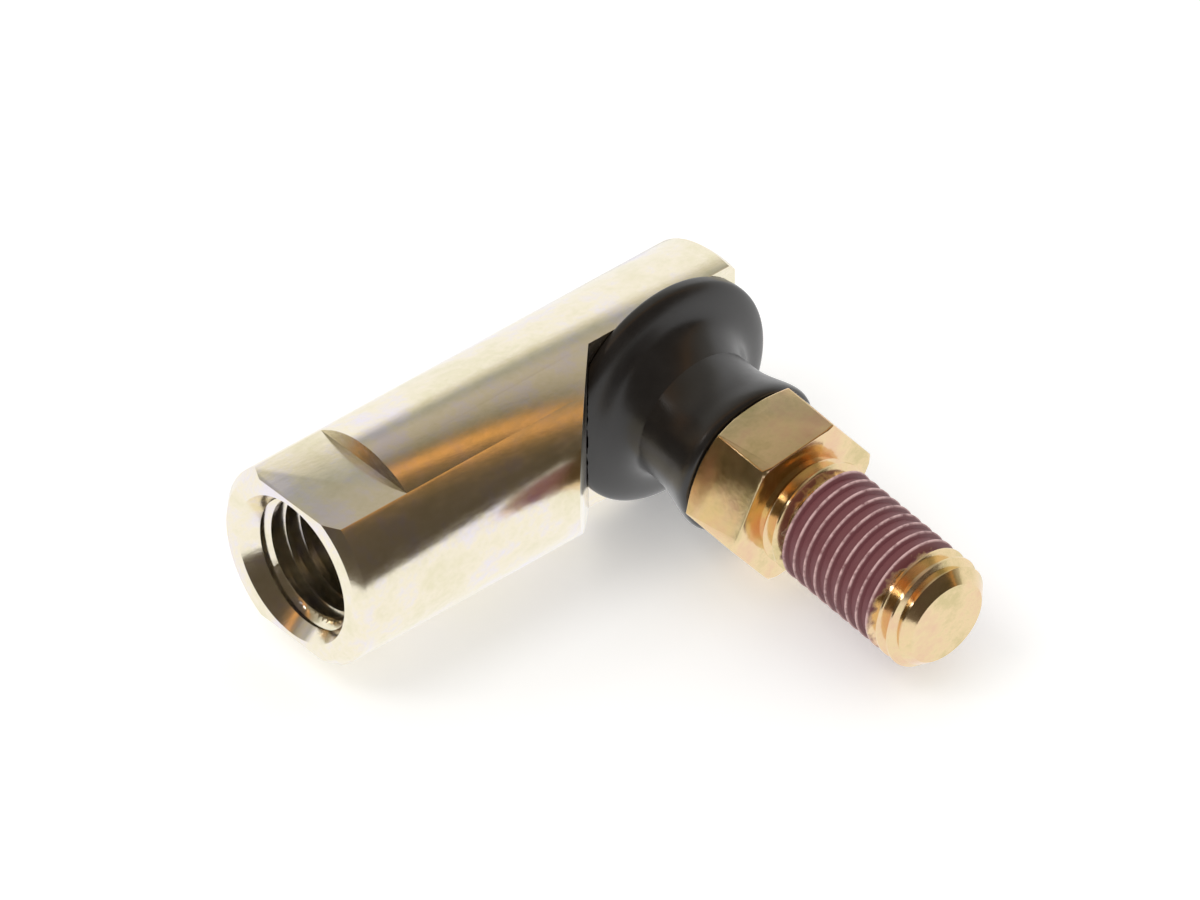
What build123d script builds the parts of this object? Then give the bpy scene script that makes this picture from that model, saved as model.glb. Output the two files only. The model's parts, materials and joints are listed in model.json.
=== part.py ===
"""Angle ball joint: a bar-stock housing with a threaded shank, and a sealed ball stud at a right angle to it.

Millimetres. Origin at the ball centre. The shank runs towards -X, the stud leaves towards -Y and leans
a little down, and the spanner flats face +Z and -Z.
"""

import os
from math import cos, pi, radians, sin, sqrt, tan

from build123d import *

# ---- driving dimensions ----
body_dia = 17.5            # turned bar
mouth_x = -37.5            # open end of the shank
far_x = 7.8                # closed end of the housing
mouth_chamfer = 0.8
far_chamfer = 0.6
flats_across = 14.0        # spanner flats beside the mouth
flats_length = 7.7

shank_thread_dia = 12.0    # M12 x 1.5, bored plain at the thread's major diameter
shank_thread_depth = 20.0
countersink_dia = 13.1
tap_drill_dia = 10.5
tap_drill_depth = 22.0
drill_point_angle = 118.0

seat_height = 1.93         # milled seat under the boot, from the ball centre
ramp_foot_x = -7.8         # the seat ends here in a 45 degree ramp
boss_dia = 14.2            # round collar on the seat, its lip rolled over the bearing
boss_height = 2.9
lip_thickness = 0.65
lip_bore_dia = 10.4
boss_groove_depth = 0.5    # holds the inner bead of the boot
boss_groove_width = 0.5

ball_dia = 11.0
ball_back = 4.9            # flat at the back of the ball, from its centre
bearing_dia = 12.6         # shell round the ball, its blind bore ends in a half sphere
bearing_slot_count = 4
bearing_slot_width = 0.8
bearing_slot_bottom = -1.5

neck_dia = 6.2
neck_end = 8.8
collar_dia = 9.6           # the neck of the boot grips this collar
collar_start = 10.6
collar_groove_dia = 8.4
collar_groove_start = 11.4
collar_groove_end = 12.8
hex_across = 13.0
hex_sides = 6
hex_start = 13.5
hex_end = 19.0
hex_chamfer_dia = 12.8     # the corner chamfers start here on both faces
hex_chamfer_angle = 30.0
relief_dia = 8.2           # undercut between the hexagon and the thread
relief_length = 1.2
stud_thread_dia = 10.0     # M10 x 1.25, left plain
stud_end = 36.5
tip_dia = 7.5

boot_rim_dia = 20.2
boot_rim_height = 1.1      # straight edge of the boot's base
boot_wall = 0.8
# radius and height from the ball centre, along the seat's axis and then along the stud
boot_flare = [(9.0, 3.6), (7.9, 3.85), (7.1, 4.2)]
boot_bend = [(6.75, 4.5), (6.2, 5.2), (6.0, 5.9), (5.95, 6.6)]
boot_neck = [(5.95, 7.6), (6.1, 9.2), (6.5, 10.8), (6.9, 12.2), (6.9, 13.2), (6.65, 13.45)]
clip_wire_dia = 0.9
clip_dia = 11.5            # mean diameter of the clip moulded in the boot's lip
clip_height = 12.1

stud_lean = 5.0            # degrees the stud leans below the level of the shank
stud_turn = 5.0            # degrees the stud is turned about its own axis, from flats level with the shank's

# ---- fits ----
overrun = 1.0              # how far a cut, or a core inside another, runs past the face it crosses
seat_gap = 0.02            # between pieces that sit face to face
ball_gap = 0.03            # running fit of the ball in its bearing
ramp_gap = 0.05            # between the boot and the ramp

body_r = body_dia / 2
ball_r = ball_dia / 2


def spun(profile):
    """Solid of revolution about Z from a flat profile of radius and height."""
    return revolve(Plane.XZ * profile, Axis.Z)


def turned(points):
    """The same from (radius, height) points."""
    return spun(make_face(Polyline(*points, close=True)))


def cup_profile(radius, points):
    """Quarter disc below the ball's equator, and the outline above it."""
    quarter = Circle(radius) & Rectangle(radius, radius, align=(Align.MIN, Align.MAX))
    return quarter + make_face(Polyline((0, 0), (radius, 0), *points, close=True))


def joint_plane(lean, height=0.0):
    """Plane at a height along the axis that leans this many degrees below -Y."""
    axis = Vector(0, -cos(radians(lean)), -sin(radians(lean)))
    return Plane(origin=axis * height, x_dir=(1, 0, 0), z_dir=axis)


def along_seat(shape):
    return joint_plane(0).location * shape


def along_stud(shape):
    return joint_plane(stud_lean).location * Rot(Z=stud_turn) * shape


def seat_space(gap=0.0):
    """The room above the milled seat, ended towards the shank by the ramp."""
    foot, reach = ramp_foot_x + gap * sqrt(2), 3 * body_dia
    level, top = -seat_height - gap, -seat_height - gap - reach
    outline = Polyline((foot, level), (foot - reach, top), (reach, top), (reach, level), close=True)
    return extrude(make_face(outline), body_dia, both=True)


# ---- housing ----
shank_length = far_x - mouth_x
bar = turned([
    (0, 0), (body_r - mouth_chamfer, 0), (body_r, mouth_chamfer),
    (body_r, shank_length - far_chamfer), (body_r - far_chamfer, shank_length), (0, shank_length),
])
bar = Pos(X=mouth_x) * Rot(Y=90) * bar

flat_waste = Box(flats_length, body_dia, body_dia, align=(Align.MIN, Align.CENTER, Align.MIN))
bar -= Pos(mouth_x, 0, flats_across / 2) * flat_waste
bar -= Pos(mouth_x, 0, -flats_across / 2 - body_dia) * flat_waste

thread_r, drill_r = shank_thread_dia / 2, tap_drill_dia / 2
countersink_depth = countersink_dia / 2 - thread_r
point_length = drill_r / tan(radians(drill_point_angle / 2))
shank_bore = turned([
    (0, 0), (countersink_dia / 2, 0), (thread_r, countersink_depth), (thread_r, shank_thread_depth),
    (drill_r, shank_thread_depth + thread_r - drill_r), (drill_r, tap_drill_depth),
    (0, tap_drill_depth + point_length),
])
bar -= Pos(X=mouth_x) * Rot(Y=90) * shank_bore

boss_r, cavity_r = boss_dia / 2, bearing_dia / 2 + seat_gap
groove_r = boss_r - boss_groove_depth
groove_top = seat_height + boss_groove_width
boss = turned([
    (0, 0), (groove_r, 0), (groove_r, groove_top), (boss_r, groove_top + boss_groove_depth / 2),
    (boss_r, boss_height - lip_thickness / 2), (boss_r - lip_thickness / 2, boss_height), (0, boss_height),
])
lip_level = boss_height - lip_thickness
cavity = spun(cup_profile(cavity_r, [
    (cavity_r, lip_level), (lip_bore_dia / 2, lip_level), (lip_bore_dia / 2, boss_height + overrun),
    (0, boss_height + overrun),
]))
housing = bar - seat_space() + along_seat(boss) - along_seat(cavity)

# ---- ball bearing shell, snapped over the ball before the lip is rolled ----
shell_r = bearing_dia / 2
spigot_r = lip_bore_dia / 2 - seat_gap
shell = spun(cup_profile(shell_r, [
    (shell_r, lip_level - seat_gap), (spigot_r, lip_level - seat_gap), (spigot_r, boss_height),
    (0, boss_height),
]) - Circle(ball_r + ball_gap))
slot_height = boss_height - bearing_slot_bottom
slot = Box(bearing_dia, bearing_slot_width, slot_height, align=(Align.MIN, Align.CENTER, Align.MIN))
for i in range(bearing_slot_count):
    shell -= Rot(Z=45 + i * 360 / bearing_slot_count) * Pos(Z=bearing_slot_bottom) * slot
ball_bearing = along_seat(shell)

# ---- ball stud, one piece from the ball to the threaded end ----
collar_r, collar_groove_r = collar_dia / 2, collar_groove_dia / 2
stud_r, tip_r, relief_r = stud_thread_dia / 2, tip_dia / 2, relief_dia / 2
ball_blank = Cylinder(ball_r, ball_dia, align=(Align.CENTER, Align.CENTER, Align.MIN))
ball = Sphere(ball_r) & Pos(Z=-ball_back) * ball_blank
neck = turned([
    (0, 0), (neck_dia / 2, 0), (neck_dia / 2, neck_end), (collar_r, collar_start),
    (collar_r, collar_groove_start), (collar_groove_r, collar_groove_start),
    (collar_groove_r, collar_groove_end), (collar_r, collar_groove_end),
    (collar_r, hex_start + overrun), (0, hex_start + overrun),
])
corner_r = hex_across / 2 / cos(pi / hex_sides)
corner_drop = (corner_r - hex_chamfer_dia / 2) * tan(radians(hex_chamfer_angle))
hex_blank = turned([
    (0, hex_start), (hex_chamfer_dia / 2, hex_start), (corner_r, hex_start + corner_drop),
    (corner_r, hex_end - corner_drop), (hex_chamfer_dia / 2, hex_end), (0, hex_end),
])
hexagon = Pos(Z=hex_start) * extrude(RegularPolygon(corner_r, hex_sides), hex_end - hex_start) & hex_blank
relief_end = hex_end + relief_length
thread = turned([
    (0, hex_end - overrun), (relief_r, hex_end - overrun), (relief_r, relief_end),
    (stud_r, relief_end + stud_r - relief_r),
    (stud_r, stud_end - (stud_r - tip_r)), (tip_r, stud_end), (0, stud_end),
])
ball_stud = along_stud(ball + neck + hexagon + thread)

# ---- dust boot: a flat base on the seat, bent into a neck that follows the stud ----
rim_r = boot_rim_dia / 2
rim_edge = 0.25
seat_face = seat_height + seat_gap
rim_top = seat_face + boot_rim_height
bore_r, bead_r = boss_r + seat_gap, groove_r + seat_gap
bead_top = groove_top - seat_gap
cover_height = boss_height + seat_gap
bend_r, bend_height = boot_bend[0]
base = turned([
    (bead_r, seat_face), (rim_r - rim_edge, seat_face), (rim_r, seat_face + rim_edge),
    (rim_r, rim_top - rim_edge), (rim_r - rim_edge, rim_top), *boot_flare, (bend_r, bend_height), (bend_r - boot_wall, bend_height),
    (bend_r - boot_wall, cover_height), (bore_r, cover_height), (bore_r, bead_top + boss_groove_depth / 2),
    (bead_r, bead_top),
])
base = along_seat(base) & seat_space(ramp_gap)


def bend_section(radius, height):
    """Circle across the boot where it turns from the seat's axis to the stud's."""
    low, high = boot_bend[0][1], boot_bend[-1][1]
    return joint_plane(stud_lean * (height - low) / (high - low), height) * Circle(radius)


bend = loft([bend_section(r, h) for r, h in boot_bend])
bend -= loft([bend_section(r - boot_wall, h) for r, h in boot_bend])

collar_fit_r, groove_fit_r = collar_r + seat_gap, collar_groove_r + seat_gap
inner = [(r - boot_wall, h) for r, h in [boot_bend[-1], *boot_neck[:2]]]
neck_tube = turned([
    boot_bend[-1], *boot_neck, (collar_fit_r, boot_neck[-1][1]), (collar_fit_r, collar_groove_end - seat_gap),
    (groove_fit_r, collar_groove_end - seat_gap), (groove_fit_r, collar_groove_start + seat_gap),
    (collar_fit_r, collar_groove_start + seat_gap), (collar_fit_r, collar_start), *reversed(inner),
])
clip_ring = Pos(Z=clip_height) * Torus(clip_dia / 2, clip_wire_dia / 2)
clip_groove = Pos(Z=clip_height) * Torus(clip_dia / 2, clip_wire_dia / 2 + seat_gap)
dust_boot = base + bend + along_stud(neck_tube - clip_groove)
boot_clip = along_stud(clip_ring)

os.makedirs("parts", exist_ok=True)
pieces = {
    "housing": housing,
    "ball_bearing": ball_bearing,
    "ball_stud": ball_stud,
    "dust_boot": dust_boot,
    "boot_clip": boot_clip,
}
for name, shape in pieces.items():
    export_step(shape, f"parts/{name}.step")
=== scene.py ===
"""Angle ball joint, dressed: a plated steel housing and ball stud with cut threads, and a rubber boot.

Lengths are metres in the part's own frame. The ball's centre is the origin, the shank runs towards -X, and
the stud leaves towards -Y. It is laid out as an add-on, with one operator for each piece.
"""

import json
from math import acos, asin, cos, pi, radians, sin, tan

import bpy
from mathutils import Matrix, Vector


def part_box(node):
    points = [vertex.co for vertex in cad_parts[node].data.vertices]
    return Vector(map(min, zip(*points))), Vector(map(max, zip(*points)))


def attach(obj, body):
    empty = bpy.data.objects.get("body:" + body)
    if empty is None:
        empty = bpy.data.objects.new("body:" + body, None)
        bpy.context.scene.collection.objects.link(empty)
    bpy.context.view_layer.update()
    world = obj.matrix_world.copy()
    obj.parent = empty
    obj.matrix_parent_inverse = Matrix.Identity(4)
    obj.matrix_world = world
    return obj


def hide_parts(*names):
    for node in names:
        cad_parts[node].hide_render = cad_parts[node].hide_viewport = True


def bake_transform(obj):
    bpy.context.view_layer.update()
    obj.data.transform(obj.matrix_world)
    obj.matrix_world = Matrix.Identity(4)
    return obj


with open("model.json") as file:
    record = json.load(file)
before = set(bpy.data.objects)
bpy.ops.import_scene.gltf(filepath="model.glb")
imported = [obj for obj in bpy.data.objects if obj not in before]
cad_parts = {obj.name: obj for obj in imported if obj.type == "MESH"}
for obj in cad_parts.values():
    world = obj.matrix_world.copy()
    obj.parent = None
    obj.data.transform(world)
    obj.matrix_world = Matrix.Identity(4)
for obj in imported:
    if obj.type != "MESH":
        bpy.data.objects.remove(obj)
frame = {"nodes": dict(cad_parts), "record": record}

bl_info = {
    "name": "Angle ball joint",
    "version": (1, 0, 0),
    "blender": (4, 5, 0),
    "location": "View3D > Sidebar > Ball joint",
    "description": "Models an angle ball joint with its threads, boot and studio",
    "category": "Object",
}

MM = 0.001
MOUNTS = {mount["name"]: mount for mount in frame["record"]["mounts"]}
HOUSING_LOW, HOUSING_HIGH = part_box("housing")
STUD_AXIS = Vector(MOUNTS["stud_thread"]["axis"])
SEAT_AXIS = Vector((0, -1, 0))
RAMP_FOOT, SEAT_LEVEL = -7.8 * MM, -1.93 * MM    # x and y of the line where the milled seat meets its ramp
BEND_START, BEND_LENGTH = 4.5 * MM, 1.5 * MM     # where the boot turns from the seat's axis to the stud's
CUTTER_OVERRUN = 0.1 * MM  # how far a cutter stands past the metal that it cuts
THREAD_DEPTH = 0.6134      # depth of an outside thread, in pitches
ROUND_STEPS = 128          # facets round a turned piece
HEXAGON_STEPS = 48         # facets round the hexagon's blank, which put an edge on every corner
BOOT_STEPS = 64            # facets round the boot before it is smoothed


# ---- modelling, as by hand ----

def select_only(*objects):
    bpy.ops.object.select_all(action="DESELECT")
    for obj in objects:
        obj.select_set(True)
    bpy.context.view_layer.objects.active = objects[0] if objects else None


def edit(obj):
    """Edit mode on this piece alone, with all of it selected."""
    select_only(obj)
    bpy.ops.object.mode_set(mode="EDIT")
    bpy.ops.mesh.select_mode(type="VERT")
    bpy.ops.mesh.select_all(action="SELECT")


def tidy(obj):
    """Merges what meets, turns the faces outwards and leaves edit mode."""
    bpy.ops.mesh.select_all(action="SELECT")
    bpy.ops.mesh.remove_doubles(threshold=0.001 * MM)
    bpy.ops.mesh.normals_make_consistent(inside=False)
    bpy.ops.object.mode_set(mode="OBJECT")
    return obj


def drawn(name, points):
    """A chain of edges in edit mode, drawn by extruding one vertex from point to point."""
    select_only()
    bpy.ops.mesh.primitive_plane_add(size=MM)
    obj = bpy.context.object
    obj.name = obj.data.name = name
    edit(obj)
    bpy.ops.mesh.merge(type="CENTER")
    bpy.ops.transform.translate(value=points[0])
    for here, there in zip(points, points[1:]):
        bpy.ops.mesh.extrude_region_move(TRANSFORM_OT_translate={"value": Vector(there) - Vector(here)})
    return obj


def turned(name, profile, steps=ROUND_STEPS):
    """A solid turned about Z, from the (radius, height) of its outline, which starts and ends on the axis."""
    obj = drawn(name, [(radius, 0, height) for radius, height in profile])
    bpy.ops.mesh.select_all(action="SELECT")
    bpy.ops.mesh.spin(steps=steps, angle=2 * pi, center=(0, 0, 0), axis=(0, 0, 1))
    return tidy(obj)


def extruded(name, outline, depth):
    """A prism from a closed outline, standing on it."""
    obj = drawn(name, outline)
    bpy.ops.mesh.select_all(action="SELECT")
    bpy.ops.mesh.edge_face_add()
    bpy.ops.mesh.extrude_region_move(TRANSFORM_OT_translate={"value": depth})
    return tidy(obj)


def block(name, low, high):
    """A rectangular block between two corners."""
    select_only()
    low, high = Vector(low), Vector(high)
    bpy.ops.mesh.primitive_cube_add(size=1, location=(low + high) / 2, scale=high - low)
    obj = bpy.context.object
    obj.name = name
    return place(obj, Matrix.Identity(4))


def place(obj, matrix):
    """Moves a piece and leaves the move in its mesh, with its object at the origin."""
    obj.matrix_world = matrix @ obj.matrix_world
    select_only(obj)
    bpy.ops.object.transform_apply(location=True, rotation=True, scale=True)
    return obj


def finish_with(obj, kind, **settings):
    """Adds a modifier with these settings and applies it."""
    modifier = obj.modifiers.new(kind.title(), kind)
    for key, value in settings.items():
        setattr(modifier, key, value)
    select_only(obj)
    bpy.ops.object.modifier_apply(modifier=modifier.name)
    return obj


def combine(obj, tool, operation="DIFFERENCE"):
    """Cuts, joins or intersects a piece with a tool, which is then thrown away."""
    finish_with(obj, "BOOLEAN", operation=operation, object=tool, solver="EXACT")
    bpy.data.objects.remove(tool)
    if not obj.data.polygons:
        raise RuntimeError(f"nothing is left of {obj.name}")
    return obj


def thread_tool(name, pitch, root, open_side, root_flat, start, length, turn=0.0):
    """What a thread is cut with: a 60 degree groove swept along a right-hand helix about Z.

    root is the radius of its flat bottom and open_side the radius where it leaves the metal.
    """
    half_open = root_flat / 2 + abs(open_side - root) * tan(radians(30))
    outline = [(root, 0, -root_flat / 2), (root, 0, root_flat / 2), (open_side, 0, half_open)]
    outline += [(open_side, 0, -half_open), outline[0]]
    obj = tidy(drawn(name, outline))
    turns = round(length / pitch)
    finish_with(obj, "SCREW", axis="Z", angle=2 * pi, screw_offset=pitch, iterations=turns,
                steps=ROUND_STEPS // 2, render_steps=ROUND_STEPS // 2, use_merge_vertices=False)
    edit(obj)
    bpy.ops.mesh.remove_doubles(threshold=0.001 * MM)
    bpy.ops.mesh.fill_holes(sides=0)
    return place(tidy(obj), Matrix.Translation((0, 0, start)) @ Matrix.Rotation(turn, 4, "Z"))


def rings(name, sections, steps):
    """A skin through circles: each section is (radius, height, direction), the height measured along it."""
    select_only()
    radius, height, along = sections[0]
    bpy.ops.mesh.primitive_circle_add(vertices=steps, radius=radius)
    obj = bpy.context.object
    obj.name = obj.data.name = name
    place(obj, axes(along) @ Matrix.Translation((0, 0, height)))
    edit(obj)
    for (old_radius, old_height, old_along), (radius, height, along) in zip(sections, sections[1:]):
        old_centre, centre = old_along * old_height, along * height
        bpy.ops.mesh.extrude_region_move(TRANSFORM_OT_translate={"value": centre - old_centre})
        bpy.ops.transform.resize(value=(radius / old_radius,) * 3, center_override=centre)
        lean = old_along.angle(along, 0)
        if lean:
            bpy.ops.transform.rotate(value=lean, orient_axis="X", center_override=centre)
    return tidy(obj)


def axes(along, turn=0.0):
    """The frame whose Z runs this way, with its X level, turned about Z."""
    level = Vector((1, 0, 0))
    level = (level - along * level.dot(along)).normalized()
    columns = Matrix((level, along.cross(level), along)).transposed()
    return columns.to_4x4() @ Matrix.Rotation(turn, 4, "Z")


def dress(obj, material, replaced, body=None, smooth_under=30):
    """Gives a finished piece its material, shading and body, and hides the parts of the record that it
    replaces.
    """
    obj.data.materials.clear()
    obj.data.materials.append(material)
    select_only(obj)
    bpy.ops.object.shade_smooth_by_angle(angle=radians(smooth_under))
    if body:
        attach(obj, body)
    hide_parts(*replaced)
    return obj


# ---- materials ----

def linear(colour):
    """sRGB hex such as "#a0b0c0" as linear RGBA."""
    channels = [int(colour[i:i + 2], 16) / 255 for i in (1, 3, 5)]
    return (*(c / 12.92 if c <= 0.04045 else ((c + 0.055) / 1.055) ** 2.4 for c in channels), 1)


def add_node(tree, kind, settings=(), **links):
    """Adds a node. Settings name its properties or sockets, or number its sockets.

    Links feed its sockets, by name or by number, where s0 is the first.
    """
    node = tree.nodes.new(kind)
    for key, value in dict(settings).items():
        if hasattr(node, str(key)):
            setattr(node, key, value)
        else:
            node.inputs[key].default_value = value
    for key, source in links.items():
        socket = node.inputs[int(key[1:]) if key[1:].isdigit() else key.replace("_", " ")]
        tree.links.new(source, socket)
    return node


def map_range(tree, source, low, high, to_low=0.0, to_high=1.0):
    """Takes a value from one range to another."""
    return add_node(tree, "ShaderNodeMapRange", {
        "From Min": low, "From Max": high, "To Min": to_low, "To Max": to_high}, Value=source).outputs[0]


def ramp_stops(node, stops):
    """Sets a colour ramp to (position, colour) stops."""
    elements = node.color_ramp.elements
    while len(elements) > len(stops):
        elements.remove(elements[-1])
    while len(elements) < len(stops):
        elements.new(1)
    for element, (position, colour) in zip(elements, stops):
        element.position, element.color = position, colour


def own_coordinates(tree):
    """The piece's own coordinates, in metres and in millimetres."""
    own = add_node(tree, "ShaderNodeTexCoord").outputs["Object"]
    in_mm = add_node(tree, "ShaderNodeMapping", {"Scale": (1 / MM,) * 3}, Vector=own)
    return own, in_mm.outputs[0]


def new_material(name):
    """A material with its shader, and the piece's own coordinates in millimetres."""
    material = bpy.data.materials.new(name)
    material.use_nodes = True
    tree = material.node_tree
    _, mm = own_coordinates(tree)
    return material, tree, tree.nodes["Principled BSDF"], mm


def plated_steel(name, colours, stretch=(1, 1, 1)):
    """Free-cutting steel, turned and milled, bright zinc plated and yellow passivated.

    The passivate dries in cloudy patches of straw, olive and lilac, and the turned skin under it is slightly
    uneven, so reflections run in long bands with a mottled edge.
    """
    material, tree, shader, mm = new_material(name)
    patches = add_node(tree, "ShaderNodeTexNoise", {"Scale": 0.2, "Detail": 6.0, "Roughness": 0.7}, Vector=mm)
    clouds = add_node(tree, "ShaderNodeValToRGB", Fac=patches.outputs[0])
    ramp_stops(clouds, [(0.36, linear(colours[0])), (0.5, linear(colours[1])), (0.64, linear(colours[2]))])
    tree.links.new(clouds.outputs[0], shader.inputs["Base Color"])
    along = add_node(tree, "ShaderNodeMapping", {"Scale": stretch}, Vector=mm)
    skin = add_node(tree, "ShaderNodeTexNoise", {"Scale": 1.5, "Detail": 4.0, "Roughness": 0.6},
                    Vector=along.outputs[0])
    bump = add_node(tree, "ShaderNodeBump", {"Strength": 0.4, "Distance": 0.02 * MM}, Height=skin.outputs[0])
    tree.links.new(bump.outputs[0], shader.inputs["Normal"])
    rough = map_range(tree, skin.outputs[0], 0.3, 0.7, 0.13, 0.21)
    tree.links.new(rough, shader.inputs["Roughness"])
    shader.inputs["Metallic"].default_value = 1
    return material


def patched_thread(sizes, thread_r):
    """The stud's plating, and the locking patch brushed on its thread.

    The patch is a dried film of nylon and resin: matt plum in the roots, with a ragged edge at each end. On
    the crests it is pale, partly because the film is thin and worn there and partly as a painted highlight.
    through, with a ragged edge at each end.
    """
    material = plated_steel("zinc_plated_stud_steel", (sizes.olive, sizes.gold, sizes.rose))
    tree, shader = material.node_tree, material.node_tree.nodes["Principled BSDF"]
    own, mm = own_coordinates(tree)
    height = add_node(tree, "ShaderNodeVectorMath", {"operation": "DOT_PRODUCT", 1: STUD_AXIS}, s0=own)
    across = add_node(tree, "ShaderNodeVectorMath", {"operation": "CROSS_PRODUCT", 1: STUD_AXIS}, s0=own)
    reach = add_node(tree, "ShaderNodeVectorMath", {"operation": "LENGTH"}, s0=across.outputs[0])

    uneven, fade = 0.6 * MM, 0.3 * MM
    ragged = add_node(tree, "ShaderNodeTexNoise", {"Scale": 0.9, "Detail": 3.0}, Vector=mm)
    shift = map_range(tree, ragged.outputs[0], 0, 1, -uneven, uneven)
    level = add_node(tree, "ShaderNodeMath", {"operation": "ADD"}, s0=height.outputs["Value"], s1=shift)
    begun = map_range(tree, level.outputs[0], sizes.patch_start, sizes.patch_start + fade)
    ended = map_range(tree, level.outputs[0], sizes.patch_end, sizes.patch_end - fade)
    covered = add_node(tree, "ShaderNodeMath", {"operation": "MULTIPLY"}, s0=begun, s1=ended).outputs[0]

    # the pale colour on the crests is partly the thin, worn film and partly a painted highlight
    root_side, crest_side = thread_r - 0.14 * MM, thread_r - 0.02 * MM
    streaks = add_node(tree, "ShaderNodeTexNoise", {"Scale": 1.1, "Detail": 4.0, "Roughness": 0.7}, Vector=mm)
    crest = map_range(tree, reach.outputs["Value"], root_side, crest_side)
    broken = map_range(tree, streaks.outputs[0], 0.3, 0.55)
    worn_and_highlight = add_node(tree, "ShaderNodeMath", {"operation": "MULTIPLY"}, s0=crest, s1=broken)
    film = add_node(tree, "ShaderNodeMix", {
        "data_type": "RGBA", 6: linear(sizes.patch), 7: linear(sizes.worn_patch_and_highlight)}, s0=worn_and_highlight.outputs[0])

    metal = shader.inputs["Base Color"].links[0].from_socket
    colour = add_node(tree, "ShaderNodeMix", {"data_type": "RGBA"}, s0=covered, s6=metal, s7=film.outputs[2])
    tree.links.new(colour.outputs[2], shader.inputs["Base Color"])
    bare = add_node(tree, "ShaderNodeMath", {"operation": "SUBTRACT", 0: 1.0}, s1=covered)
    tree.links.new(bare.outputs[0], shader.inputs["Metallic"])
    metal_rough = shader.inputs["Roughness"].links[0].from_socket
    rough = add_node(tree, "ShaderNodeMix", {"data_type": "FLOAT", 3: 0.45}, s0=covered, s2=metal_rough)
    tree.links.new(rough.outputs[0], shader.inputs["Roughness"])
    return material


def boot_rubber(colour):
    """Chloroprene rubber, compression moulded in a polished tool: near black, satin, with a faint bloom."""
    material, tree, shader, mm = new_material("moulded_chloroprene_rubber")
    bloom = add_node(tree, "ShaderNodeTexNoise", {"Scale": 0.5, "Detail": 5.0, "Roughness": 0.65}, Vector=mm)
    rough = map_range(tree, bloom.outputs[0], 0.3, 0.7, 0.28, 0.38)
    tree.links.new(rough, shader.inputs["Roughness"])
    shader.inputs["Coat Weight"].default_value = 0.3
    shader.inputs["Coat Roughness"].default_value = 0.22
    tint = add_node(tree, "ShaderNodeValToRGB", Fac=bloom.outputs[0])
    base = linear(colour)
    ramp_stops(tint, [(0.35, base), (0.7, (*(c * 1.35 for c in base[:3]), 1))])
    tree.links.new(tint.outputs[0], shader.inputs["Base Color"])
    bump = add_node(tree, "ShaderNodeBump", {"Strength": 0.12, "Distance": 0.02 * MM},
                    Height=bloom.outputs[0])
    tree.links.new(bump.outputs[0], shader.inputs["Normal"])
    return material


def acetal():
    """Acetal, injection moulded: milky white and slippery."""
    material, tree, shader, mm = new_material("moulded_acetal")
    flow = add_node(tree, "ShaderNodeTexNoise", {"Scale": 0.3, "Detail": 2.0}, Vector=mm)
    tint = add_node(tree, "ShaderNodeValToRGB", Fac=flow.outputs[0])
    ramp_stops(tint, [(0.3, linear("#e4e1d6")), (0.7, linear("#efece3"))])
    tree.links.new(tint.outputs[0], shader.inputs["Base Color"])
    shader.inputs["Roughness"].default_value = 0.35
    shader.inputs["IOR"].default_value = 1.48
    return material


def spring_steel():
    """Patented spring wire, drawn: dark grey metal with fine lines along it."""
    material, tree, shader, mm = new_material("drawn_spring_steel")
    lines = add_node(tree, "ShaderNodeTexNoise", {"Scale": 4.0, "Detail": 3.0}, Vector=mm)
    tint = add_node(tree, "ShaderNodeValToRGB", Fac=lines.outputs[0])
    ramp_stops(tint, [(0.3, linear("#8d8b88")), (0.7, linear("#a8a6a2"))])
    tree.links.new(tint.outputs[0], shader.inputs["Base Color"])
    shader.inputs["Metallic"].default_value = 1
    shader.inputs["Roughness"].default_value = 0.3
    return material


# ---- settings ----

class HousingSettings(bpy.types.PropertyGroup):
    """Sizes and colours of the housing."""

    flats_across: bpy.props.FloatProperty(
        name="Across flats", description="Across the spanner flats beside the mouth",
        default=14 * MM, unit="LENGTH")
    flats_length: bpy.props.FloatProperty(
        name="Flats' length", description="How far the flats run from the mouth",
        default=7.7 * MM, unit="LENGTH")
    mouth_chamfer: bpy.props.FloatProperty(
        name="Mouth chamfer", description="Chamfer round the outside of the mouth",
        default=0.8 * MM, unit="LENGTH")
    far_chamfer: bpy.props.FloatProperty(
        name="Far chamfer", description="Chamfer round the closed end",
        default=0.6 * MM, unit="LENGTH")
    countersink: bpy.props.FloatProperty(
        name="Countersink", description="Diameter of the countersink at the mouth",
        default=13.1 * MM, unit="LENGTH")
    pitch: bpy.props.FloatProperty(
        name="Pitch", description="Pitch of the thread in the shank", default=1.5 * MM, unit="LENGTH")
    edge: bpy.props.FloatProperty(
        name="Broken edges", description="Width of the broken sharp edges", default=0.14 * MM, unit="LENGTH")
    straw: bpy.props.StringProperty(
        name="Straw", description="sRGB hex of the pale straw patches", default="#f7eed8")
    olive: bpy.props.StringProperty(
        name="Olive", description="sRGB hex of the olive patches", default="#efe7c9")
    lilac: bpy.props.StringProperty(
        name="Lilac", description="sRGB hex of the lilac patches", default="#f1eaf0")


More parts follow.
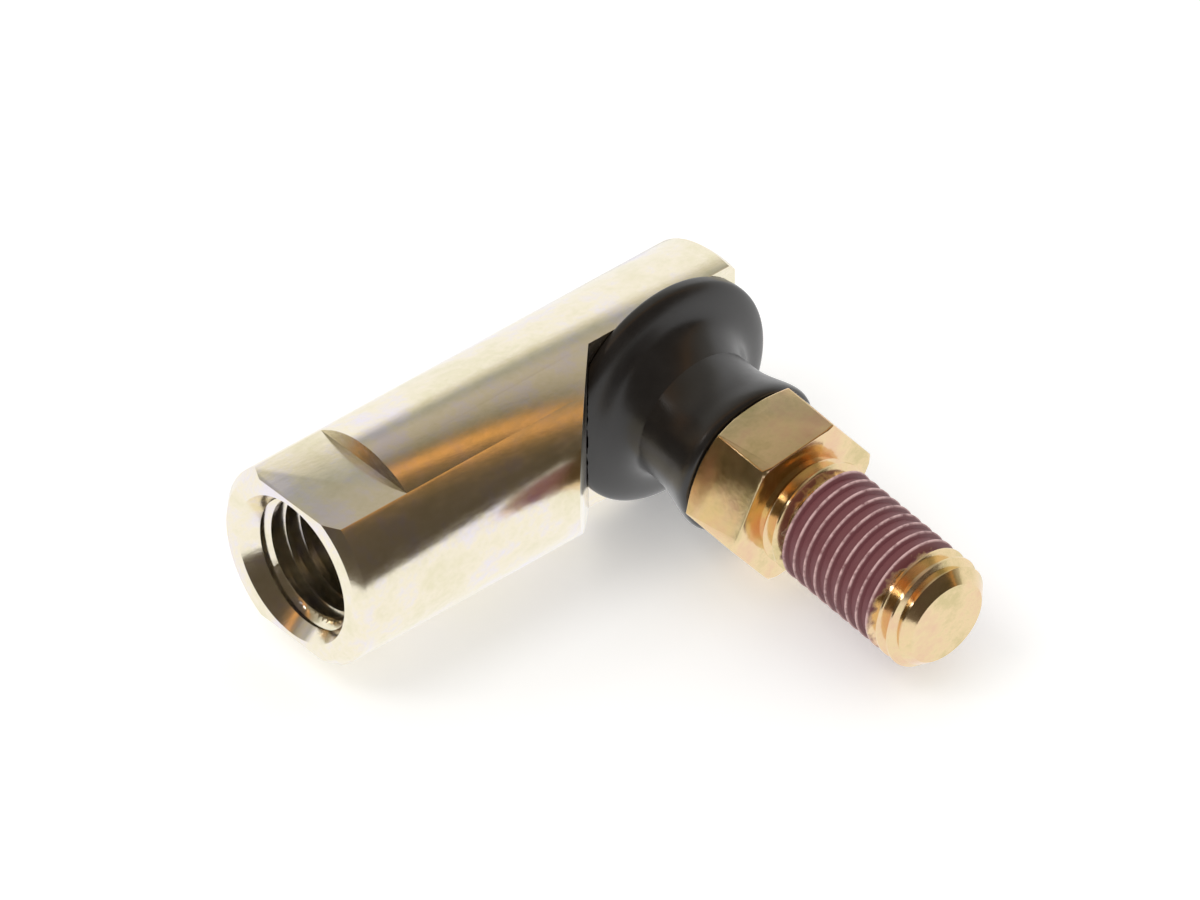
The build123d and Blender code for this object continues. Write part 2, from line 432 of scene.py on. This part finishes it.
class StudSettings(bpy.types.PropertyGroup):
    """Sizes and colours of the ball stud."""

    hex_across: bpy.props.FloatProperty(
        name="Hexagon", description="Across the flats of the hexagon", default=13 * MM, unit="LENGTH")
    pitch: bpy.props.FloatProperty(
        name="Pitch", description="Pitch of the stud's thread", default=1.25 * MM, unit="LENGTH")
    turn: bpy.props.FloatProperty(
        name="Turn", description="How far the stud is turned about its own axis",
        default=radians(7.5), subtype="ANGLE", unit="ROTATION")
    patch_start: bpy.props.FloatProperty(
        name="Patch start", description="Where the locking patch starts, from the ball's centre",
        default=21.6 * MM, unit="LENGTH")
    patch_end: bpy.props.FloatProperty(
        name="Patch end", description="Where the locking patch ends, from the ball's centre",
        default=32.8 * MM, unit="LENGTH")
    gold: bpy.props.StringProperty(
        name="Gold", description="sRGB hex of the golden passivate", default="#eed5a8")
    olive: bpy.props.StringProperty(
        name="Olive", description="sRGB hex of its olive patches", default="#d9c795")
    rose: bpy.props.StringProperty(
        name="Rose", description="sRGB hex of its rose patches", default="#ecc9a6")
    patch: bpy.props.StringProperty(
        name="Patch", description="sRGB hex of the locking patch in the thread's roots", default="#7c474b")
    # pale colour of the patch on the crests: partly thin, worn film and partly a painted highlight
    worn_patch_and_highlight: bpy.props.StringProperty(
        name="Worn patch", description="sRGB hex of the patch where it is thin on the crests",
        default="#d9b3b0")


class BootSettings(bpy.types.PropertyGroup):
    """Sizes and colour of the dust boot."""

    wall: bpy.props.FloatProperty(
        name="Wall", description="Thickness of the rubber", default=0.8 * MM, unit="LENGTH")
    rubber: bpy.props.StringProperty(
        name="Rubber", description="sRGB hex of the rubber", default="#1f1c1a")


class StageSettings(bpy.types.PropertyGroup):
    """Camera, floor and light."""

    azimuth: bpy.props.FloatProperty(
        name="Azimuth", description="Where the camera stands round the part", default=radians(-41.05),
        subtype="ANGLE", unit="ROTATION")
    elevation: bpy.props.FloatProperty(
        name="Elevation", description="How high the camera stands", default=radians(39.45),
        subtype="ANGLE", unit="ROTATION")
    distance: bpy.props.FloatProperty(
        name="Distance", description="From the camera to the part", default=1.75, unit="LENGTH")
    width: bpy.props.FloatProperty(
        name="Width", description="Width of what the camera sees at the part",
        default=96.5 * MM, unit="LENGTH")
    floor: bpy.props.StringProperty(
        name="Floor", description="sRGB hex of the floor", default="#f9f8f6")


# ---- pieces ----

class JOINT_OT_housing(bpy.types.Operator):
    """Turn the bar, mill its flats and its seat, and tap the shank"""

    bl_idname = "object.joint_housing"
    bl_label = "Housing"

    def execute(self, context):
        sizes = context.scene.joint_housing
        radius, mouth, far = HOUSING_HIGH.z, HOUSING_LOW.x, HOUSING_HIGH.x
        thread_r = MOUNTS["shank_thread"]["dims"]["r_mm"] * MM
        drill_r, sink_r = thread_r - sizes.pitch / 2, sizes.countersink / 2
        drill_end, tap_length = mouth + 22 * MM, 20 * MM
        sink_slope, point_slope = tan(radians(60)), tan(radians(59))
        housing = turned("tapped_housing", [
            (0, far), (radius - sizes.far_chamfer, far), (radius, far - sizes.far_chamfer),
            (radius, mouth + sizes.mouth_chamfer), (radius - sizes.mouth_chamfer, mouth), (sink_r, mouth),
            (drill_r, mouth + (sink_r - drill_r) * sink_slope), (drill_r, drill_end),
            (0, drill_end + drill_r / point_slope),
        ])
        place(housing, Matrix.Rotation(pi / 2, 4, "Y"))

        over, half = 2 * radius, sizes.flats_across / 2
        flat_end = mouth + sizes.flats_length
        for low, high in ((half, over), (-over, -half)):
            combine(housing, block("flat_cutter", (mouth - MM, -over, low), (flat_end, over, high)))
        combine(housing, extruded("seat_cutter", [
            (RAMP_FOOT, SEAT_LEVEL, -over), (RAMP_FOOT - over, SEAT_LEVEL - over, -over),
            (over, SEAT_LEVEL - over, -over), (over, SEAT_LEVEL, -over), (RAMP_FOOT, SEAT_LEVEL, -over),
        ], (0, 0, 2 * over)))
        finish_with(housing, "BEVEL", width=sizes.edge, segments=2, limit_method="ANGLE",
                    angle_limit=radians(28))

        boss_r, boss_top, boss_edge = 7.1 * MM, 2.9 * MM, 0.2 * MM
        boss = turned("boss", [
            (0, 0), (boss_r, 0), (boss_r, boss_top - boss_edge), (boss_r - boss_edge, boss_top),
            (0, boss_top),
        ])
        combine(housing, place(boss, axes(SEAT_AXIS)), "UNION")
        cavity_r, lip_r, lip_level, cavity_top = 6.32 * MM, 5.2 * MM, 2.25 * MM, 4 * MM
        cavity = turned("cavity", [
            *arc(cavity_r, -pi / 2, 0, 4), (cavity_r, lip_level), (lip_r, lip_level), (lip_r, cavity_top),
            (0, cavity_top),
        ])
        combine(housing, place(cavity, axes(SEAT_AXIS)))

        tap = thread_tool("tap", sizes.pitch, thread_r, drill_r - CUTTER_OVERRUN, sizes.pitch / 8,
                          -sizes.pitch, tap_length)
        combine(housing, place(tap, Matrix.Translation((mouth, 0, 0)) @ Matrix.Rotation(pi / 2, 4, "Y")))
        steel = plated_steel("zinc_plated_turned_steel", (sizes.olive, sizes.straw, sizes.lilac),
                             stretch=(0.35, 1, 1))
        dress(housing, steel, ["housing"], "shank")
        return {"FINISHED"}


class JOINT_OT_stud(bpy.types.Operator):
    """Turn the ball stud, mill its hexagon, cut its thread and brush on the locking patch"""

    bl_idname = "object.joint_stud"
    bl_label = "Ball stud"

    def execute(self, context):
        sizes = context.scene.joint_stud
        thread_r = MOUNTS["stud_thread"]["dims"]["r_mm"] * MM
        ball_r, ball_back, neck_r, neck_end = 5.5 * MM, 4.9 * MM, 3.1 * MM, 8.8 * MM
        collar_r, collar_start = 4.8 * MM, 10.6 * MM
        hex_start, hex_end = 12.85 * MM, 19.1 * MM
        relief_r, relief_end = 4.35 * MM, 19.35 * MM
        end, tip_r = 36.5 * MM, 3.75 * MM
        middle = (hex_start + hex_end) / 2
        stud = turned("threaded_ball_stud", [
            (0, -ball_back), *arc(ball_r, -asin(ball_back / ball_r), acos(neck_r / ball_r)),
            (neck_r, neck_end), (collar_r, collar_start), (collar_r, middle), (relief_r, middle),
            (relief_r, relief_end), (thread_r, relief_end + thread_r - relief_r),
            (thread_r, end - thread_r + tip_r), (tip_r, end), (0, end),
        ])

        corner_r, slope = sizes.hex_across / 2 / cos(pi / 6), tan(radians(30))
        back_r, front_r, blank_r = 6.4 * MM, 7.1 * MM, corner_r + CUTTER_OVERRUN
        select_only()
        bpy.ops.mesh.primitive_cylinder_add(
            vertices=6, radius=corner_r, depth=hex_end - hex_start, location=(0, 0, middle),
            rotation=(0, 0, pi / 6))
        hexagon = place(bpy.context.object, Matrix.Identity(4))
        hexagon.name = "hexagon"
        combine(hexagon, turned("hexagon_blank", [
            (0, hex_start), (back_r, hex_start), (blank_r, hex_start + (blank_r - back_r) * slope),
            (blank_r, hex_end - (blank_r - front_r) * slope), (front_r, hex_end), (0, hex_end),
        ], HEXAGON_STEPS), "INTERSECT")
        finish_with(hexagon, "BEVEL", width=0.22 * MM, segments=3, limit_method="ANGLE",
                    angle_limit=radians(35))
        combine(stud, hexagon, "UNION")

        root_r = thread_r - THREAD_DEPTH * sizes.pitch
        cut_start, cut_length, cut_turn = 19.65 * MM, end - 18.3 * MM, radians(271)
        combine(stud, thread_tool("die", sizes.pitch, root_r, thread_r + CUTTER_OVERRUN, sizes.pitch / 6,
                                  cut_start, cut_length, cut_turn))
        fill_r, fill_run = root_r + 0.4 * MM, MM
        combine(stud, turned("patch_fill", [
            (0, sizes.patch_start), (root_r, sizes.patch_start), (fill_r, sizes.patch_start + fill_run),
            (fill_r, sizes.patch_end - fill_run), (root_r, sizes.patch_end), (0, sizes.patch_end),
        ]), "UNION")
        place(stud, axes(STUD_AXIS, sizes.turn))
        dress(stud, patched_thread(sizes, thread_r), ["ball_stud"], "stud")
        return {"FINISHED"}


class JOINT_OT_boot(bpy.types.Operator):
    """Mould the boot in two lengths, a base and a neck, which meet at the waist"""

    bl_idname = "object.joint_boot"
    bl_label = "Dust boot"

    def execute(self, context):
        sizes = context.scene.joint_boot
        rubber, wall = boot_rubber(sizes.rubber), sizes.wall
        rim_r, seat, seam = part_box("dust_boot")[1].z, 1.95 * MM, 6.05 * MM
        waist_r, collar_r, bore_r, ramp_gap = 5.96 * MM, 4.82 * MM, 7.2 * MM, 0.1 * MM
        # the wall's outline, from the seam out to the rim, under it and back up inside
        outside = [(waist_r, seam), (6.02 * MM, 5.7 * MM), (6.2 * MM, 5.2 * MM)]
        flare = [
            (6.6 * MM, 4.6 * MM), (7.15 * MM, 4.15 * MM), (7.9 * MM, 3.85 * MM), (9.0 * MM, 3.55 * MM),
            (rim_r - 0.35 * MM, 3.2 * MM), (rim_r - 0.08 * MM, 2.95 * MM), (rim_r, 2.75 * MM),
        ]
        foot = [
            (rim_r, 2.15 * MM), (rim_r - 0.1 * MM, seat), (rim_r - 0.3 * MM, seat), (bore_r + 0.1 * MM, seat),
            (bore_r, seat), (bore_r, 2.9 * MM),
        ]
        inside = [(radius - wall, height) for radius, height in reversed((*outside, *flare[:2]))]
        base = mould("boot_base", [*outside, *flare, *foot, *inside], seam)
        edit(base)
        bpy.ops.mesh.bisect(plane_co=(RAMP_FOOT + ramp_gap, SEAT_LEVEL, 0), plane_no=(-1, 1, 0),
                            use_fill=True, clear_outer=True)
        tidy(base)

        neck = mould("boot_neck", [
            (waist_r, seam), (waist_r, 7 * MM), (6.0 * MM, 8.2 * MM), (6.2 * MM, 9.4 * MM),
            (6.55 * MM, 10.6 * MM), (6.85 * MM, 11.6 * MM), (6.95 * MM, 12.3 * MM), (6.8 * MM, 12.7 * MM),
            (6.5 * MM, 12.8 * MM), (5.6 * MM, 12.8 * MM), (collar_r, 12.75 * MM), (collar_r, 10.9 * MM),
            (waist_r - wall, 8.6 * MM), (waist_r - wall, 7 * MM), (waist_r - wall, seam),
        ], seam)
        for piece in (base, neck):
            dress(piece, rubber, ["dust_boot"], smooth_under=50)
        along_boot(seam) * (seam - 0.2 * MM)
        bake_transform(base)
        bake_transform(neck)
        return {"FINISHED"}


class JOINT_OT_inner(bpy.types.Operator):
    """Finish the ball's bearing and the clip in the boot's lip, whose shapes come with the part"""

    bl_idname = "object.joint_inner"
    bl_label = "Bearing and clip"

    def execute(self, context):
        for node, material in (("ball_bearing", acetal()), ("boot_clip", spring_steel())):
            for slot in frame["nodes"][node].material_slots:
                slot.material = material
        return {"FINISHED"}


class JOINT_OT_stage(bpy.types.Operator):
    """Lay the floor, light it softly and set the camera"""

    bl_idname = "object.joint_stage"
    bl_label = "Stage"

    def execute(self, context):
        sizes = context.scene.joint_stage
        a, e = sizes.azimuth, sizes.elevation
        back = Vector((sin(a) * cos(e), -cos(a) * cos(e), sin(e)))
        ahead = Vector((-sin(a), cos(a), 0))
        right = ahead.cross(Vector((0, 0, 1)))
        up = right.cross(-back)
        lay_floor(sizes, ahead, right)
        light_room(context.scene, ahead)
        lamp("key", Vector((-0.5, 0.1, 0.85)), distance=1.2, size=0.5, power=2.2, reflected=False)
        lamp("window", Vector((-0.69, 0.41, 0.565)), distance=1.5, size=0.16, power=0.5)
        camera = bpy.data.objects.new("camera", bpy.data.cameras.new("camera"))
        context.scene.collection.objects.link(camera)
        camera.data.sensor_width = 36
        camera.data.lens = camera.data.sensor_width * sizes.distance / sizes.width
        camera.data.clip_start, camera.data.clip_end = 0.05, 20
        aim_left, aim_down = 3.69 * MM, 6.1 * MM
        aim = -right * aim_left - up * aim_down
        camera.location = aim + back * sizes.distance
        camera.rotation_mode = "QUATERNION"
        camera.rotation_quaternion = (-back).to_track_quat("-Z", "Y")
        context.scene.camera = camera
        context.scene.view_settings.view_transform = "Standard"
        return {"FINISHED"}


# ---- shapes, floor and light that the operators call for ----

def arc(radius, start, end, steps=24):
    """(radius, height) points round the origin, from one angle above the level to another."""
    angles = [start + (end - start) * i / steps for i in range(steps + 1)]
    return [(radius * cos(angle), radius * sin(angle)) for angle in angles]


def along_boot(height):
    """The boot's direction at a height: square to the seat below its bend and along the stud above it."""
    share = min(max((height - BEND_START) / BEND_LENGTH, 0), 1)
    return SEAT_AXIS.slerp(STUD_AXIS, share)


def mould(name, outline, seam):
    """A closed ring of rubber from the outline of its wall, smooth but for its end at the seam."""
    sections = [(radius, height, along_boot(height)) for radius, height in (*outline, outline[0])]
    piece = rings(name, sections, BOOT_STEPS)
    edit(piece)
    bpy.ops.mesh.select_all(action="DESELECT")
    bpy.ops.object.mode_set(mode="OBJECT")
    for vertex in piece.data.vertices:
        vertex.select = abs(vertex.co.dot(STUD_AXIS) - seam) < 0.01 * MM
    bpy.ops.object.mode_set(mode="EDIT")
    bpy.ops.transform.edge_crease(value=1)
    bpy.ops.object.mode_set(mode="OBJECT")
    return finish_with(piece, "SUBSURF", levels=2, render_levels=2)


def lay_floor(sizes, ahead, right):
    """A sheet of white paper, which ends in front of the part and keeps its soft shadow.

    Metal shows it as plain white, and a little light of its own makes it white for the camera.
    """
    width, depth, middle_ahead, own_light = 2, 1.4, 0.6, 0.26
    select_only()
    bpy.ops.mesh.primitive_grid_add(x_subdivisions=8, y_subdivisions=8, size=1)
    floor = bpy.context.object
    floor.name = "floor"
    columns = Matrix((right, ahead, Vector((0, 0, 1)))).transposed().to_4x4()
    middle = ahead * middle_ahead + Vector((0, 0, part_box("dust_boot")[0].z))
    place(floor, Matrix.Translation(middle) @ columns @ Matrix.Diagonal((width, depth, 1, 1)))
    material = bpy.data.materials.new("white_paper")
    material.use_nodes = True
    tree = material.node_tree
    shader = tree.nodes["Principled BSDF"]
    shader.inputs["Base Color"].default_value = linear(sizes.floor)
    shader.inputs["Roughness"].default_value = 0.9
    path = add_node(tree, "ShaderNodeLightPath")
    lift = add_node(tree, "ShaderNodeMath", {"operation": "MULTIPLY", 1: own_light},
                    s0=path.outputs["Is Camera Ray"])
    tree.links.new(lift.outputs[0], shader.inputs["Emission Strength"])
    shader.inputs["Emission Color"].default_value = (1, 1, 1, 1)
    white = add_node(tree, "ShaderNodeEmission", {"Color": (1, 1, 1, 1)})
    shown = add_node(tree, "ShaderNodeMixShader", Fac=path.outputs["Is Glossy Ray"], s1=shader.outputs[0],
                     s2=white.outputs[0])
    tree.links.new(shown.outputs[0], tree.nodes["Material Output"].inputs["Surface"])
    floor.data.materials.append(material)


# The room as polished metal shows it, by the angle up from the backdrop, over the top and down to the front:
# a white backdrop, its dark upper edge, a grey ceiling, a dark beam, and the dark room in front.
ROOM = [
    (-180, "#5a5044"), (-150, "#8d8677"), (-120, "#ffffff"), (-20, "#ffffff"), (34, "#ffffff"),
    (40, "#dcd6c6"), (47, "#9c9f9d"), (52, "#a9a59a"), (58, "#bcb4a8"), (70, "#aaa293"), (78, "#7f7c6e"),
    (84, "#8a7350"), (88, "#dfa25e"), (92, "#eeb06a"), (96, "#8a6a48"), (104, "#66563f"), (115, "#54493b"),
    (160, "#50473b"), (180, "#5a5044"),
]


def light_room(scene, ahead):
    """White behind the part for the camera, even light on it, and the room for its reflections."""
    world = bpy.data.worlds.new("studio")
    scene.world = world
    world.use_nodes = True
    tree = world.node_tree
    direction = add_node(tree, "ShaderNodeTexCoord").outputs["Generated"]
    forward = add_node(tree, "ShaderNodeVectorMath", {"operation": "DOT_PRODUCT", 1: ahead}, s0=direction)
    upward = add_node(tree, "ShaderNodeVectorMath", {"operation": "DOT_PRODUCT", 1: (0, 0, 1)}, s0=direction)
    angle = add_node(tree, "ShaderNodeMath", {"operation": "ARCTAN2"}, s0=upward.outputs["Value"],
                     s1=forward.outputs["Value"])
    room = add_node(tree, "ShaderNodeValToRGB", Fac=map_range(tree, angle.outputs[0], -pi, pi))
    ramp_stops(room, [((degrees + 180) / 360, linear(colour)) for degrees, colour in ROOM])
    path = add_node(tree, "ShaderNodeLightPath")
    lit = add_node(tree, "ShaderNodeMix", {"data_type": "RGBA", 6: (0.8, 0.8, 0.8, 1)},
                   s0=path.outputs["Is Glossy Ray"], s7=room.outputs[0])
    shown = add_node(tree, "ShaderNodeMix", {"data_type": "RGBA", 7: (1, 1, 1, 1)},
                     s0=path.outputs["Is Camera Ray"], s6=lit.outputs[2])
    tree.links.new(shown.outputs[2], tree.nodes["Background"].inputs["Color"])


def lamp(name, direction, distance, size, power, reflected=True):
    """A square soft box that faces the part, lit to this many watts."""
    data = bpy.data.lights.new(name, "AREA")
    data.size, data.energy = size, power
    obj = bpy.data.objects.new(name, data)
    bpy.context.scene.collection.objects.link(obj)
    obj.location = direction.normalized() * distance
    obj.rotation_mode = "QUATERNION"
    obj.rotation_quaternion = (-direction).to_track_quat("-Z", "Y")
    obj.visible_glossy = reflected
    obj.visible_camera = False


class JOINT_PT_panel(bpy.types.Panel):
    """The part's operators and settings."""

    bl_idname = "JOINT_PT_panel"
    bl_label = "Angle ball joint"
    bl_space_type = "VIEW_3D"
    bl_region_type = "UI"
    bl_category = "Ball joint"

    def draw(self, context):
        for name, group, operator in STEPS:
            box = self.layout.box()
            box.operator(operator)
            if group:
                settings = getattr(context.scene, name)
                for key in group.__annotations__:
                    box.prop(settings, key)


STEPS = (
    ("joint_housing", HousingSettings, JOINT_OT_housing.bl_idname),
    ("joint_stud", StudSettings, JOINT_OT_stud.bl_idname),
    ("joint_boot", BootSettings, JOINT_OT_boot.bl_idname),
    ("joint_inner", None, JOINT_OT_inner.bl_idname),
    ("joint_stage", StageSettings, JOINT_OT_stage.bl_idname),
)
CLASSES = (
    HousingSettings, StudSettings, BootSettings, StageSettings,
    JOINT_OT_housing, JOINT_OT_stud, JOINT_OT_boot, JOINT_OT_inner, JOINT_OT_stage, JOINT_PT_panel,
)


def register():
    for cls in CLASSES:
        bpy.utils.register_class(cls)
    for name, group, _ in STEPS:
        if group:
            setattr(bpy.types.Scene, name, bpy.props.PointerProperty(type=group))


def unregister():
    for name, group, _ in STEPS:
        if group:
            delattr(bpy.types.Scene, name)
    for cls in reversed(CLASSES):
        bpy.utils.unregister_class(cls)


def main():
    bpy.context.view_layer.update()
    register()
    bpy.ops.object.joint_housing()
    bpy.ops.object.joint_stud()
    bpy.ops.object.joint_boot()
    bpy.ops.object.joint_inner()
    bpy.ops.object.joint_stage()


if __name__ == "__main__":
    main()
